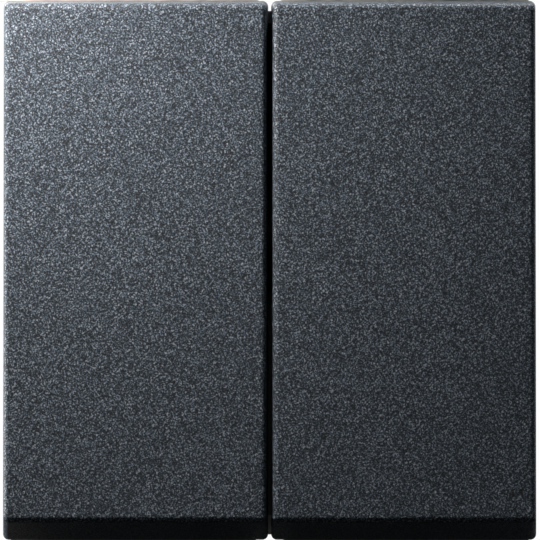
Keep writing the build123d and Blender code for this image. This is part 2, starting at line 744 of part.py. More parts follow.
# ---------------------------------------------------------------- fixing claws with their screws and nuts
for name, sign in GANGS:
    x = sign * claw_x
    with BuildPart() as claw_screw:
        with BuildSketch(front_plane(ring_thickness)):
            with Locations((x, 0)):
                Circle(claw_head_radius)
        extrude(amount=claw_head_height)
        fillet(claw_screw.faces().sort_by(Axis.Y)[0].edges(), 0.6)
        with BuildSketch(front_plane(ring_thickness)):
            with Locations((x, 0)):
                Circle(claw_screw_radius)
        extrude(amount=-claw_screw_length)
        chamfer(claw_screw.faces().sort_by(Axis.Y)[-1].edges(), 0.4)
        with BuildSketch(front_plane(ring_thickness + claw_head_height)):
            with Locations((x, 0)):
                Rectangle(2 * claw_head_radius, 0.8)
                Rectangle(0.8, 3.2)
        extrude(amount=-1.0, mode=Mode.SUBTRACT)
    save(claw_screw.part, f"{name}_claw_screw")

    with BuildPart() as claw_nut:
        with BuildSketch(front_plane(-claw_start - nut_half_depth)):
            with Locations((x, 0)):
                Rectangle(2 * nut_half_width, 2 * nut_half_height)
        extrude(amount=2 * nut_half_depth)
        with BuildSketch(plan_plane(0)):
            with Locations((x, -claw_start)):
                Circle(nut_trunnion_radius)
        extrude(amount=nut_half_height + nut_trunnion_length, both=True)
        with BuildSketch(front_plane(-claw_start - nut_half_depth)):
            with Locations((x, 0)):
                Circle(claw_screw_radius + bearing_clearance)
        extrude(amount=2 * nut_half_depth, mode=Mode.SUBTRACT)
    save(claw_nut.part, f"{name}_claw_nut")

    # a folded channel: an ear above and below the nut, joined by a web that ends in teeth
    web_inner, web_outer = claw_web_inner, claw_web_inner + claw_sheet
    ear_z = nut_half_height + claw_clearance
    tip_root, tip_end = -claw_length + 2.5, -claw_length
    with BuildPart() as claw:
        for z_sign in (-1, 1):
            with BuildSketch(plan_plane(z_sign * ear_z)):
                with Locations((x, -claw_start)):
                    Circle(claw_ear_radius)
                with BuildLine():
                    Polyline(
                        (x, -claw_start - claw_ear_radius),
                        (x + sign * web_outer, -claw_start - claw_ear_radius - 4.0),
                        (x + sign * web_outer, -claw_start - 0.6),
                        (x + sign * 0.5, -claw_start + claw_ear_radius * 0.9),
                        close=True,
                    )
                make_face()
                with Locations((x, -claw_start)):
                    Circle(nut_trunnion_radius + bearing_clearance, mode=Mode.SUBTRACT)
            extrude(amount=-z_sign * claw_sheet)
        with BuildSketch(plan_plane(0)):
            with BuildLine():
                Polyline(
                    (x + sign * web_inner, -claw_start - 0.6),
                    (x + sign * web_outer, -claw_start - 0.6),
                    (x + sign * web_outer, -claw_start + tip_root),
                    (x + sign * (web_outer + claw_flare), -claw_start + tip_end),
                    (x + sign * (web_inner + claw_flare), -claw_start + tip_end),
                    (x + sign * web_inner, -claw_start + tip_root),
                    close=True,
                )
            make_face()
        extrude(amount=ear_z + claw_sheet, both=True)
        # gaps between the teeth
        tooth_pitch = 2 * (ear_z + claw_sheet) / claw_teeth
        with BuildSketch(side_plane(x + sign * web_outer)):
            for i in range(1, claw_teeth):
                middle = i * tooth_pitch - ear_z - claw_sheet
                with BuildLine():
                    Polyline(
                        (-claw_start + tip_end - 0.1, middle - tooth_pitch * 0.35),
                        (-claw_start + tip_end + 1.6, middle),
                        (-claw_start + tip_end - 0.1, middle + tooth_pitch * 0.35),
                        close=True,
                    )
                make_face()
        extrude(amount=3.0, both=True, mode=Mode.SUBTRACT)
    save(claw.part, f"{name}_claw")

print("rocker pivot out", pivot_out, "tilt", rocker_tilt)
print("lever pivot out", lever_out, "lever tilt", lever_tilt)
print("gang x", gang_x, "claw x", claw_x, "claw nut out", -claw_start)
print("overall", ring_width, ring_height, "front", pivot_out + face)
print("caps top", cap_height / 2 * cos(tilt) + rim * sin(tilt))
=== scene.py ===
# %% [markdown]
# # A two-gang rocker wall switch
#
# Two speckled, dark caps sit side by side on a flush-mounted insert: a steel support ring, a box-shaped
# housing with its terminals behind, and a fixing claw at each side. The frame that we load is the engineer's
# model, with every part at its place and in metres. We keep its shapes where they are right, rebuild the
# pieces that deserve a closer look, and give every part the finish of its real material.

# %% Load the frame
import json
from math import pi, radians, tan

import bpy
from mathutils import Matrix, Vector


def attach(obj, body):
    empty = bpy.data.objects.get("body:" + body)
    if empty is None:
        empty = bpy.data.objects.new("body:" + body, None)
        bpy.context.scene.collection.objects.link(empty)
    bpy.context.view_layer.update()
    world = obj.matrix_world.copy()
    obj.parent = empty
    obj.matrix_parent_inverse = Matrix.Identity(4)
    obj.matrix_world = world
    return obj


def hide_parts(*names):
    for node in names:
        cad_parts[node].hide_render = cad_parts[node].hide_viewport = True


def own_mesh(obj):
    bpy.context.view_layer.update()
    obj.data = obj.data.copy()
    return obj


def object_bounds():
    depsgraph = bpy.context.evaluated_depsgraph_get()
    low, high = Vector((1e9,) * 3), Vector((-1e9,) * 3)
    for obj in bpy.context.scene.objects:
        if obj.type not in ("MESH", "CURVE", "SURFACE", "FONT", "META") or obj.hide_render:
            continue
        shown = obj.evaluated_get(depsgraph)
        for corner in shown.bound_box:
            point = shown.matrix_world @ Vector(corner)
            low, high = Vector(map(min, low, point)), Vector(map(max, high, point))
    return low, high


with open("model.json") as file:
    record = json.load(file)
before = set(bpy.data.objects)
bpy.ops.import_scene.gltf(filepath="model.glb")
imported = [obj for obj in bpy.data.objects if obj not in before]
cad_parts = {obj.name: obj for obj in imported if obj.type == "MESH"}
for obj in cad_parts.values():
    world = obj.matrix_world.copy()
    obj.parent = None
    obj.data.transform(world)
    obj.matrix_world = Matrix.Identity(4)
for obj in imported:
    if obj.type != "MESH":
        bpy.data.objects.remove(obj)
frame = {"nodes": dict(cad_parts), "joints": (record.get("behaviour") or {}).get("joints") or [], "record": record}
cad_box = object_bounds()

MM = 0.001
joints = {j["name"]: j for j in frame["joints"]}
print("parts:", len(frame["nodes"]), "joints:", len(joints))

# %% [markdown]
# ## Small helpers for modelling by hand
#
# Blender's operators act on whatever is selected, and loading a model leaves it selected. So each piece starts
# from an empty selection. A finished piece has its place in its mesh and its object at the origin, like the
# parts of the frame, so that its finish doesn't slide when the object moves.


# %% Helpers for objects
def start_clean():
    """Leaves edit mode and selects nothing."""
    if bpy.context.object and bpy.context.object.mode != "OBJECT":
        bpy.ops.object.mode_set(mode="OBJECT")
    bpy.ops.object.select_all(action="DESELECT")


def pick(obj, *more):
    """Selects these objects, with the first one active."""
    start_clean()
    for o in (obj, *more):
        o.select_set(True)
    bpy.context.view_layer.objects.active = obj


def settle(obj):
    """Moves an object's place, turn and scale into its mesh."""
    pick(obj)
    bpy.ops.object.transform_apply(location=True, rotation=True, scale=True)
    return obj


def block(name, low, high):
    """A box between two corners, in millimetres."""
    start_clean()
    low, high = Vector(low) * MM, Vector(high) * MM
    bpy.ops.mesh.primitive_cube_add(size=1, location=(low + high) / 2, scale=high - low)
    obj = bpy.context.object
    obj.name = name
    return settle(obj)


def apply_modifier(obj, kind, **settings):
    """Adds a modifier with these settings and applies it."""
    pick(obj)
    modifier = obj.modifiers.new(kind, kind)
    for key, value in settings.items():
        setattr(modifier, key, value)
    bpy.ops.object.modifier_apply(modifier=modifier.name)
    return obj


def cut(obj, *tools):
    """Cuts the tools' shapes out of an object and removes the tools."""
    for tool in tools:
        apply_modifier(obj, "BOOLEAN", operation="DIFFERENCE", solver="EXACT", object=tool)
        bpy.data.objects.remove(tool)
    return obj


def join(obj, *others):
    """Makes the others part of the first object."""
    pick(obj, *others)
    bpy.ops.object.join()
    return obj


def select_faces(obj, test):
    """In edit mode, selects the faces whose normal and centre pass a test."""
    bpy.ops.object.mode_set(mode="EDIT")
    bpy.ops.mesh.select_mode(type="FACE")
    bpy.ops.mesh.select_all(action="DESELECT")
    bpy.ops.object.mode_set(mode="OBJECT")
    for face in obj.data.polygons:
        face.select = test(face.normal, face.center)
    bpy.ops.object.mode_set(mode="EDIT")


def round_edges(obj, radius, segments=4, angle=35):
    """Rounds the sharp edges and shades them smooth. The large faces keep their own flat normals."""
    apply_modifier(
        obj,
        "BEVEL",
        width=radius * MM,
        segments=segments,
        limit_method="ANGLE",
        angle_limit=radians(angle),
        miter_outer="MITER_ARC",
        harden_normals=False,
    )
    pick(obj)
    bpy.ops.object.shade_smooth_by_angle(angle=radians(40))
    return apply_modifier(obj, "WEIGHTED_NORMAL", mode="FACE_AREA", weight=100, keep_sharp=True)


# %% [markdown]
# ## The rockers' own place
#
# Both rockers hang on hinge pins, and at rest their top ends are pressed in by 5 degrees. A cap is easier to
# model upright, so it is built with its rocker in mid-travel and then turned about the hinge to its rest place.

# %% The hinge and the rest tilt
pivot = Vector(joints["left_rocker_tilt"]["pos_m"])
pivot_out = -pivot.y / MM
gang_x = {"left": pivot.x / MM, "right": -pivot.x / MM}
rest_tilt = radians(5)
hinge = Vector((0, pivot.y, 0))
to_rest = Matrix.Translation(hinge) @ Matrix.Rotation(-rest_tilt, 4, "X") @ Matrix.Translation(-hinge)


def rocker_block(name, x, up, height):
    """A box on the rocker in mid-travel: its ranges to the right, up, and out from the hinge."""
    return block(name, (x[0], -pivot_out - height[1], up[0]), (x[1], -pivot_out - height[0], up[1]))


def tilt(obj):
    """Turns an upright rocker piece to its rest place."""
    obj.matrix_world = to_rest
    return settle(obj)


# %% [markdown]
# ## The caps
#
# A cap is an injection-moulded shell: a flat face with slightly drawn-in walls, so that it leaves its mould
# and clears its frame as it rocks. Solidify could give a bent sheet its wall, but at a rounded corner its
# inner side would cross itself. So we think like the tool-maker, with a cavity and a core. The cavity is a box
# with its face drawn in and its front and upright edges rounded in one go. The core is a smaller drawn-in box,
# and it is cut away from the first. Then the wall is cut back where the bearings stand. The snap legs and
# the ribs that rest on the carrier are small boxes joined to the inside.

# %% Sizes of a cap
CAP_WIDTH, CAP_HEIGHT, SKIRT = 27.1, 55.4, 9.2
CAP_GAP = 0.3
RIM = -0.886  # the rim's height from the hinge
FACE = RIM + SKIRT
WALL, FACE_THICKNESS = 1.5, 1.8
DRAW_END = SKIRT * tan(radians(7.5))
DRAW_SIDE = SKIRT * tan(radians(1.0))
EDGE_RADIUS, FINE_RADIUS, RIB_RADIUS = 0.6, 0.1, 0.15
RIB, LEG_HALF_WIDTH, HOOK_DEPTH = 1.0, 3.0, 0.9
BITE = 0.3  # how far a rib or a leg reaches into the face
SIDE_RIBS_UP, SIDE_RIB_DEPTH = (-12, 0, 12), 1.6
FLANGE_HALF, WALL_CUT = 25.9, 0.22
BEARING_HALF, BEARING_CUT = 3.55, 3.05
CARRIER_HALF, CARRIER_WIDTH_HALF, CARRIER_FRONT, CARRIER_LIFT = 15.9, 6.95, 3.4, 1.2


# %% Model a cap
def drawn_box(name, x_range, half_height, height):
    """A rocker box whose front face is drawn in by the mould's slopes."""
    box = rocker_block(name, x_range, (-half_height, half_height), height)
    centre = Vector(((x_range[0] + x_range[1]) / 2, -pivot_out - height[1], 0)) * MM
    share = (height[1] - height[0]) / SKIRT
    narrower = 1 - 2 * share * DRAW_SIDE / (x_range[1] - x_range[0])
    lower = 1 - share * DRAW_END / half_height
    select_faces(box, lambda normal, _: normal.y < -0.9)
    bpy.ops.transform.resize(value=(narrower, 1, lower), center_override=centre)
    bpy.ops.object.mode_set(mode="OBJECT")
    return box


def round_front(obj, radius, segments):
    """Rounds the edges of the front face and the upright edges, but not those of the rim."""
    rim = max(v.co.y for v in obj.data.vertices)
    pick(obj)
    bpy.ops.object.mode_set(mode="EDIT")
    bpy.ops.mesh.select_mode(type="EDGE")
    bpy.ops.mesh.select_all(action="DESELECT")
    bpy.ops.object.mode_set(mode="OBJECT")
    for edge in obj.data.edges:
        edge.select = any(obj.data.vertices[v].co.y < rim - MM for v in edge.vertices)
    bpy.ops.object.mode_set(mode="EDIT")
    bpy.ops.mesh.bevel(offset=radius * MM, segments=segments, affect="EDGES", clamp_overlap=False)
    bpy.ops.object.mode_set(mode="OBJECT")


def model_cap(side, sign):
    near, far = sign * CAP_GAP / 2, sign * (CAP_GAP / 2 + CAP_WIDTH)
    half = CAP_HEIGHT / 2
    cap = drawn_box(f"{side}_cap", sorted((near, far)), half, (RIM, FACE))
    round_front(cap, EDGE_RADIUS, segments=6)
    hollow = sorted((near + sign * WALL, far - sign * WALL))
    core = drawn_box("core", hollow, half - WALL, (RIM - 0.5, FACE - FACE_THICKNESS))
    inner = sorted((near - sign * 0.5, near + sign * (WALL + 0.5)))
    short = rocker_block("short", inner, (-FLANGE_HALF, FLANGE_HALF), (RIM - 1, WALL_CUT))
    bearing = rocker_block("bearing", inner, (-BEARING_HALF, BEARING_HALF), (RIM - 1, BEARING_CUT))
    cut(cap, core, short, bearing)
    round_edges(cap, FINE_RADIUS, segments=2, angle=60)

    x = gang_x[side]
    inside = FACE - FACE_THICKNESS
    extras = []
    rib_height = (CARRIER_FRONT, inside + BITE)
    rib_end = CARRIER_HALF - 2
    cross_ribs = ((-rib_end, -rib_end + RIB), (rib_end - RIB, rib_end), (-RIB / 2, RIB / 2))
    for up in cross_ribs:
        span = CARRIER_WIDTH_HALF - 0.5
        extras.append(rocker_block("rib", (x - span, x + span), up, rib_height))
    for offset in (-1, 1):
        outer = x + offset * (CARRIER_WIDTH_HALF - 0.5)
        ends = sorted((outer, outer - offset * RIB))
        extras.append(rocker_block("rib", ends, (-rib_end, rib_end), rib_height))
    hook_height = CARRIER_LIFT - 0.05
    for end in (-1, 1):
        leg = sorted((end * (CARRIER_HALF + 0.05), end * (CARRIER_HALF + 1.25)))
        across = (x - LEG_HALF_WIDTH, x + LEG_HALF_WIDTH)
        extras.append(rocker_block("leg", across, leg, (hook_height - HOOK_DEPTH, inside + BITE)))
        hook = sorted((end * (CARRIER_HALF - 0.65), end * (CARRIER_HALF + 0.15)))
        extras.append(rocker_block("hook", across, hook, (hook_height - HOOK_DEPTH, hook_height)))
    outer_start = x + sign * (CARRIER_WIDTH_HALF - 0.6)
    outer_end = far - sign * (WALL - 0.3)
    for up in SIDE_RIBS_UP:
        span = sorted((outer_start, outer_end))
        side_rib = (up - RIB / 2, up + RIB / 2)
        extras.append(rocker_block("rib", span, side_rib, (inside - SIDE_RIB_DEPTH, inside + BITE)))
    for extra in extras:
        round_edges(extra, RIB_RADIUS, segments=2)
    join(cap, *extras)
    tilt(cap)
    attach(cap, f"{side}_rocker")
    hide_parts(f"{side}_rocker_cap")
    return cap


caps = [model_cap(side, sign) for side, sign in (("left", -1), ("right", 1))]
print("cap faces:", [len(c.data.polygons) for c in caps])

# %% [markdown]
# ## The plunger springs
#
# Each plunger is pushed out of its sleeve by a small coil spring. A coil is one round wire swept along a
# helix, which is what the Screw modifier does with a circle. The spring shortens as its plunger is pushed in;
# here it is modelled at one length and hung on its rocker.

# %% Model the plunger springs
WIRE, COIL_RADIUS = 0.36, 1.22
SPRING_LOW, SPRING_HIGH = -3.42, 1.4  # heights from the hinge
COIL_TURNS = 6


def model_spring(side):
    start_clean()
    length = SPRING_HIGH - SPRING_LOW - WIRE
    bpy.ops.mesh.primitive_circle_add(
        vertices=10, radius=WIRE / 2 * MM, location=(COIL_RADIUS * MM, 0, 0), rotation=(pi / 2, 0, 0)
    )
    spring = settle(bpy.context.object)
    spring.name = f"{side}_coil"
    apply_modifier(
        spring,
        "SCREW",
        axis="Z",
        angle=2 * pi,
        screw_offset=length / COIL_TURNS * MM,
        iterations=COIL_TURNS,
        steps=20,
        render_steps=20,
        use_merge_vertices=False,
    )
    close_ends(spring)
    bpy.ops.object.shade_smooth_by_angle(angle=radians(60))
    upright = Matrix.Translation(
        Vector((gang_x[side], -pivot_out - SPRING_LOW - WIRE / 2, 0)) * MM
    ) @ Matrix.Rotation(pi / 2, 4, "X")
    spring.matrix_world = to_rest @ upright
    settle(spring)
    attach(spring, f"{side}_rocker")
    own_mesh(spring)
    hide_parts(f"{side}_plunger_spring")
    return spring


def close_ends(obj):
    """Closes the open ends of a swept shape and turns its faces outwards."""
    pick(obj)
    bpy.ops.object.mode_set(mode="EDIT")
    bpy.ops.mesh.select_mode(type="EDGE")
    bpy.ops.mesh.select_all(action="DESELECT")
    bpy.ops.mesh.select_non_manifold(extend=False, use_wire=False, use_multi_face=False, use_verts=False)
    bpy.ops.mesh.fill_holes(sides=0)
    bpy.ops.mesh.select_all(action="SELECT")
    bpy.ops.mesh.normals_make_consistent(inside=False)
    bpy.ops.object.mode_set(mode="OBJECT")


springs = [model_spring(side) for side in ("left", "right")]
print("coil wire faces:", len(springs[0].data.polygons))

# %% [markdown]
# ## The clamp springs
#
# A push-in terminal holds its wire with a folded strip of spring steel. Pressing the release button bends the
# strip's free leg towards its fixed one. The frame's strips already have the right fold, so each is copied,
# its doubled corner points are merged, and the copy is hung on the base in place of the frame's strip.

# %% Copy the clamp springs
clamps = []
for name in ("left", "right", "common"):
    source = frame["nodes"][f"{name}_clamp_spring"]
    clamp = bpy.data.objects.new(f"{name}_clamp", source.data.copy())
    bpy.context.scene.collection.objects.link(clamp)
    pick(clamp)
    bpy.ops.object.mode_set(mode="EDIT")
    bpy.ops.mesh.select_all(action="SELECT")
    bpy.ops.mesh.remove_doubles(threshold=0.000002)
    bpy.ops.object.mode_set(mode="OBJECT")
    bpy.ops.object.shade_smooth_by_angle(angle=radians(25))
    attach(clamp, "base")
    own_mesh(clamp)
    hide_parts(f"{name}_clamp_spring")
    clamps.append(clamp)
print("clamps:", [c.name for c in clamps])

# %% [markdown]
# ## The claw screws
#
# Each fixing claw is drawn up by a long machine screw with a crossed slot in its head. The thread catches the
# light, so it is modelled: a slim core, and a three-cornered ridge swept round it with the Screw modifier at
# the thread's real pitch of half a millimetre. A bump texture would be cheaper, but it leaves the outline
# smooth, and the outline is what makes a thread look like one.

# %% Model a claw screw
RING_FRONT = 1.2
HEAD_RADIUS, HEAD_HEIGHT = 2.8, 1.8
SHANK_RADIUS, SHANK_LENGTH = 1.5, 16.2
PITCH, RIDGE = 0.5, 0.22


def turned_rod(name, radius, start, end, x, vertices=40):
    """A cylinder along the wall's normal, from one distance out to another."""
    start_clean()
    bpy.ops.mesh.primitive_cylinder_add(
        vertices=vertices,
        radius=radius * MM,
        depth=abs(end - start) * MM,
        location=(x * MM, -(start + end) / 2 * MM, 0),
        rotation=(pi / 2, 0, 0),
    )
    rod = settle(bpy.context.object)
    rod.name = name
    return rod


def model_claw_screw(side):
    x = joints[f"{side}_claw_screw_turn"]["pos_m"][0] / MM
    head = turned_rod(f"{side}_claw_screw_piece", HEAD_RADIUS, RING_FRONT, RING_FRONT + HEAD_HEIGHT, x)
    top = RING_FRONT + HEAD_HEIGHT
    slot_long = block("slot", (x - 3.2, -top - 0.5, -0.4), (x + 3.2, -top + 1.0, 0.4))
    slot_short = block("slot", (x - 0.4, -top - 0.5, -1.6), (x + 0.4, -top + 1.0, 1.6))
    cut(head, slot_long, slot_short)
    round_edges(head, 0.25, segments=3, angle=50)

    tip = RING_FRONT - SHANK_LENGTH
    core = turned_rod("core", SHANK_RADIUS - 0.3, tip, RING_FRONT + 0.2, x, vertices=28)
    round_edges(core, 0.3, segments=2, angle=50)
    turns = int((SHANK_LENGTH - 2.4) / PITCH)
    start_clean()
    bpy.ops.mesh.primitive_circle_add(
        vertices=3,
        radius=RIDGE * MM,
        location=((SHANK_RADIUS - RIDGE) * MM, 0, 0),
        rotation=(pi / 2, pi / 2, 0),
    )
    ridge = settle(bpy.context.object)
    apply_modifier(
        ridge,
        "SCREW",
        axis="Z",
        angle=2 * pi,
        screw_offset=PITCH * MM,
        iterations=turns,
        steps=24,
        render_steps=24,
        use_merge_vertices=False,
    )
    close_ends(ridge)
    ridge.matrix_world = Matrix.Translation(Vector((x, -tip - 0.6, 0)) * MM) @ Matrix.Rotation(pi / 2, 4, "X")
    settle(ridge)
    bpy.ops.object.shade_smooth_by_angle(angle=radians(20))
    join(head, core, ridge)
    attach(head, f"{side}_claw_screw_body")
    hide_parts(f"{side}_claw_screw")
    return head


screws = [model_claw_screw(side) for side in ("left", "right")]
print("claw screw faces:", len(screws[0].data.polygons))

# %% [markdown]
# ## Finishes: the node helpers
#
# A finish is a small graph of nodes. Every one here starts from the Object coordinates of its piece, so that
# its grain has a true size in millimetres and moves with the piece.


# %% Helpers for materials
def new_material(name):
    """An empty material: its node tree, its main shader and its coordinates."""
    material = bpy.data.materials.new(name)
    material.use_nodes = True
    tree = material.node_tree
    shader = tree.nodes["Principled BSDF"]
    coordinates = tree.nodes.new("ShaderNodeTexCoord").outputs["Object"]
    return material, tree, shader, coordinates


def add(tree, kind, inputs=None, **settings):
    """Adds a node, sets its settings, and sets or links its inputs."""
    made = tree.nodes.new(kind)
    for key, value in settings.items():
        setattr(made, key, value)
    for key, value in (inputs or {}).items():
        if isinstance(value, bpy.types.NodeSocket):
            tree.links.new(value, made.inputs[key])
        else:
            made.inputs[key].default_value = value
    return made


def noise(tree, coordinates, size_mm, detail=2.0, roughness=0.5, stretch=None):
    """Noise whose features are about size_mm across. stretch lengthens them along an axis."""
    vector = coordinates
    if stretch:
        vector = add(tree, "ShaderNodeMapping", {"Vector": coordinates, "Scale": stretch}).outputs["Vector"]
    values = {"Vector": vector, "Scale": 1 / (size_mm * MM), "Detail": detail, "Roughness": roughness}
    return add(tree, "ShaderNodeTexNoise", values).outputs["Fac"]


def spread(tree, value, low, high, to_low, to_high):
    """Maps a value from one range to another, and clamps it."""
    values = {"Value": value, "From Min": low, "From Max": high, "To Min": to_low, "To Max": to_high}
    return add(tree, "ShaderNodeMapRange", values).outputs["Result"]


def mix_colour(tree, amount, first, second):
    """A blend of two colours."""
    made = add(tree, "ShaderNodeMix", data_type="RGBA")
    for socket, value in ((made.inputs[0], amount), (made.inputs[6], first), (made.inputs[7], second)):
        if isinstance(value, bpy.types.NodeSocket):
            tree.links.new(value, socket)
        else:
            socket.default_value = value
    return made.outputs[2]


def bump(tree, shader, height, depth_mm, strength=1.0):
    """Raises the surface by a height in millimetres."""
    values = {"Height": height, "Distance": depth_mm * MM, "Strength": strength}
    tree.links.new(add(tree, "ShaderNodeBump", values).outputs["Normal"], shader.inputs["Normal"])


def rgb(r, g, b):
    return (r, g, b, 1)


# %% [markdown]
# ## The caps' speckled paint
#
# The caps are painted in a dark blue-grey with a fine light grain, a few tenths of a millimetre across. Its
# grains differ in brightness by a factor of several, so a plain noise between two greys looks too even. Here
# the noise goes through an exponential, which turns equal steps of noise into equal ratios of brightness. It is
# multiplied by a light dot in each cell of a Voronoi pattern, which spaces the flecks evenly, as pigment is.
# The result is then held back where it is brightest, and the palest flecks turn greyer. The same grain also
# raises the surface a little, so that it takes the light unevenly. Noise is laid out on a square lattice, and
# a flat face that runs nearly along that lattice shows faint bands, so the pattern is turned to an odd angle
# first.

# %% The cap paint
PAINT = (0.0500, 0.0715, 0.0970)
FLECK = (0.0720, 0.0740, 0.0800)
GRAIN_MM, CLOUD_MM, CELL_MM = 0.14, 2.2, 0.29
GRAIN_CONTRAST, DOT_BASE = 8.0, 0.22
HOLD_BACK, HOLD_START = 0.24, 0.81


def make_cap_paint():
    material, tree, shader, coordinates = new_material("cap_paint")
    turned = {"Vector": coordinates, "Rotation": (0.6, 0.5, 0.4)}
    place = add(tree, "ShaderNodeMapping", turned).outputs["Vector"]
    grain = noise(tree, place, GRAIN_MM, detail=0.0)
    cloud = noise(tree, place, CLOUD_MM, detail=2.0)
    centred = add(tree, "ShaderNodeMath", {0: grain, 1: -0.5}, operation="ADD").outputs[0]
    stretched = add(tree, "ShaderNodeMath", {0: centred, 1: GRAIN_CONTRAST}, operation="MULTIPLY").outputs[0]
    grains = add(tree, "ShaderNodeMath", {0: stretched}, operation="EXPONENT").outputs[0]
    pattern = {"Vector": place, "Scale": 1 / (CELL_MM * MM), "Randomness": 0.8}
    cells = add(tree, "ShaderNodeTexVoronoi", pattern)
    dot = spread(tree, cells.outputs["Distance"], 0.15, 0.6, 1.0, 0.0)
    luck = spread(tree, cells.outputs["Color"], 0.0, 1.0, 0.85, 1.3)
    fleck = add(tree, "ShaderNodeMath", {0: dot, 1: luck}, operation="MULTIPLY").outputs[0]
    lifted = add(tree, "ShaderNodeMath", {0: fleck, 1: DOT_BASE}, operation="ADD").outputs[0]
    raw = add(tree, "ShaderNodeMath", {0: grains, 1: lifted}, operation="MULTIPLY").outputs[0]
    limit = add(tree, "ShaderNodeMath", {0: raw, 1: HOLD_BACK, 2: HOLD_START}, operation="MULTIPLY_ADD").outputs[0]
    total = add(tree, "ShaderNodeMath", {0: raw, 1: limit}, operation="DIVIDE").outputs[0]
    tone = spread(tree, cloud, 0.3, 0.7, 0.97, 1.03)
    level = add(tree, "ShaderNodeMath", {0: total, 1: tone}, operation="MULTIPLY").outputs[0]
    paleness = spread(tree, level, 0.6, 2.6, 0.0, 0.7)
    pigment = mix_colour(tree, paleness, rgb(*PAINT), rgb(*FLECK))
    colour = add(tree, "ShaderNodeVectorMath", {0: pigment, "Scale": level}, operation="SCALE").outputs[0]
    tree.links.new(colour, shader.inputs["Base Color"])
    tree.links.new(spread(tree, grain, 0.3, 0.7, 0.56, 0.44), shader.inputs["Roughness"])
    shader.inputs["Specular IOR Level"].default_value = 0.3
    bump(tree, shader, grain, 0.03, strength=0.6)
    return material


# %% [markdown]
# ## The moulded plastics
#
# The insert's plastics share one build: a base tone that drifts a little, the fine pebble that a spark-eroded
# mould leaves, and a gloss that follows the pebble. They differ in colour, in grain size and in gloss.


# %% Plastics
def make_plastic(name, colour, grain_mm, depth_mm, gloss, drift=0.08, through=0.0):
    material, tree, shader, place = new_material(name)
    cloud = noise(tree, place, 9.0, detail=3.0, roughness=0.6)
    grain = noise(tree, place, grain_mm, detail=2.0)
    darker = rgb(*(c * (1 - drift) for c in colour))
    lighter = rgb(*(min(1.0, c * (1 + drift)) for c in colour))
    tone = mix_colour(tree, spread(tree, cloud, 0.3, 0.7, 0, 1), darker, lighter)
    specks = spread(tree, grain, 0.62, 0.75, 0.0, 0.35)
    tree.links.new(mix_colour(tree, specks, tone, rgb(*(c * 0.7 for c in colour))), shader.inputs["Base Color"])
    tree.links.new(spread(tree, grain, 0.3, 0.7, gloss - 0.07, gloss + 0.1), shader.inputs["Roughness"])
    shader.inputs["Subsurface Weight"].default_value = through
    shader.inputs["Subsurface Scale"].default_value = 0.6 * MM
    bump(tree, shader, grain, depth_mm, strength=0.7)
    return material


# %% [markdown]
# ## The metals
#
# Rolled and plated metal shows long faint lines along the direction it was rolled or drawn, and a plating whose
# tint and gloss drift. So one build serves the ring, the screws, the springs and the brass: streaks from a
# noise stretched along one axis, a cloud of tarnish, and fine handling scratches.


# %% Metals
def make_metal(name, colour, tint, gloss, stretch, tarnish=0.25, streak_mm=0.5):
    material, tree, shader, place = new_material(name)
    streaks = noise(tree, place, streak_mm, detail=4.0, roughness=0.65, stretch=stretch)
    cloud = noise(tree, place, 6.0, detail=4.0, roughness=0.62)
    scratch = noise(tree, place, 0.25, detail=3.0, stretch=(stretch[1], stretch[2], stretch[0]))
    base = mix_colour(tree, spread(tree, cloud, 0.35, 0.72, 0, 1), rgb(*colour), rgb(*tint))
    lines = spread(tree, streaks, 0.35, 0.7, 0.0, tarnish)
    worn = mix_colour(tree, lines, base, rgb(*(c * 0.62 for c in colour)))
    tree.links.new(worn, shader.inputs["Base Color"])
    shader.inputs["Metallic"].default_value = 1.0
    rough = add(tree, "ShaderNodeMath", {0: streaks, 1: cloud}, operation="ADD").outputs[0]
    tree.links.new(spread(tree, rough, 0.6, 1.4, gloss - 0.1, gloss + 0.16), shader.inputs["Roughness"])
    relief = add(tree, "ShaderNodeMath", {0: streaks, 1: scratch}, operation="ADD").outputs[0]
    bump(tree, shader, relief, 0.006, strength=0.5)
    return material


# %% Make the finishes and put them on
finishes = {
    "cap_paint": make_cap_paint(),
    "graphite_plastic": make_plastic("graphite_plastic", (0.045, 0.047, 0.05), 0.25, 0.02, 0.55),
    "housing_plastic": make_plastic("housing_plastic", (0.56, 0.57, 0.55), 0.35, 0.02, 0.5, through=0.05),
    "carrier_plastic": make_plastic("carrier_plastic", (0.76, 0.76, 0.72), 0.5, 0.01, 0.38, through=0.1),
    "plunger_plastic": make_plastic("plunger_plastic", (0.82, 0.8, 0.73), 0.6, 0.006, 0.3, through=0.1),
    "button_plastic": make_plastic("button_plastic", (0.68, 0.2, 0.035), 0.3, 0.012, 0.36),
    "zinc_plated_steel": make_metal(
        "zinc_plated_steel", (0.62, 0.63, 0.65), (0.66, 0.66, 0.62), 0.36, (1, 1, 0.06)
    ),
    "screw_steel": make_metal("screw_steel", (0.66, 0.62, 0.5), (0.6, 0.6, 0.56), 0.3, (1, 0.2, 1), streak_mm=0.3),
    "spring_steel": make_metal("spring_steel", (0.5, 0.51, 0.53), (0.42, 0.41, 0.4), 0.28, (0.1, 1, 1)),
    "contact_brass": make_metal("contact_brass", (0.78, 0.56, 0.25), (0.62, 0.4, 0.18), 0.3, (1, 0.15, 1)),
    "contact_silver": make_metal("contact_silver", (0.86, 0.85, 0.83), (0.66, 0.62, 0.56), 0.3, (0.4, 1, 0.4)),
}


def put_on(obj, material):
    """Gives every face of an object one finish."""
    obj.data.materials.clear()
    obj.data.materials.append(material)


slot_of = {s["node"]: s["material_slot"] for s in frame["record"]["subparts"]}
for name, obj in frame["nodes"].items():
    put_on(obj, finishes[slot_of[name]])
for obj in caps:
    put_on(obj, finishes["cap_paint"])
for obj in springs + clamps:
    put_on(obj, finishes["spring_steel"])
for obj in screws:
    put_on(obj, finishes["screw_steel"])
print("finishes:", len(finishes))

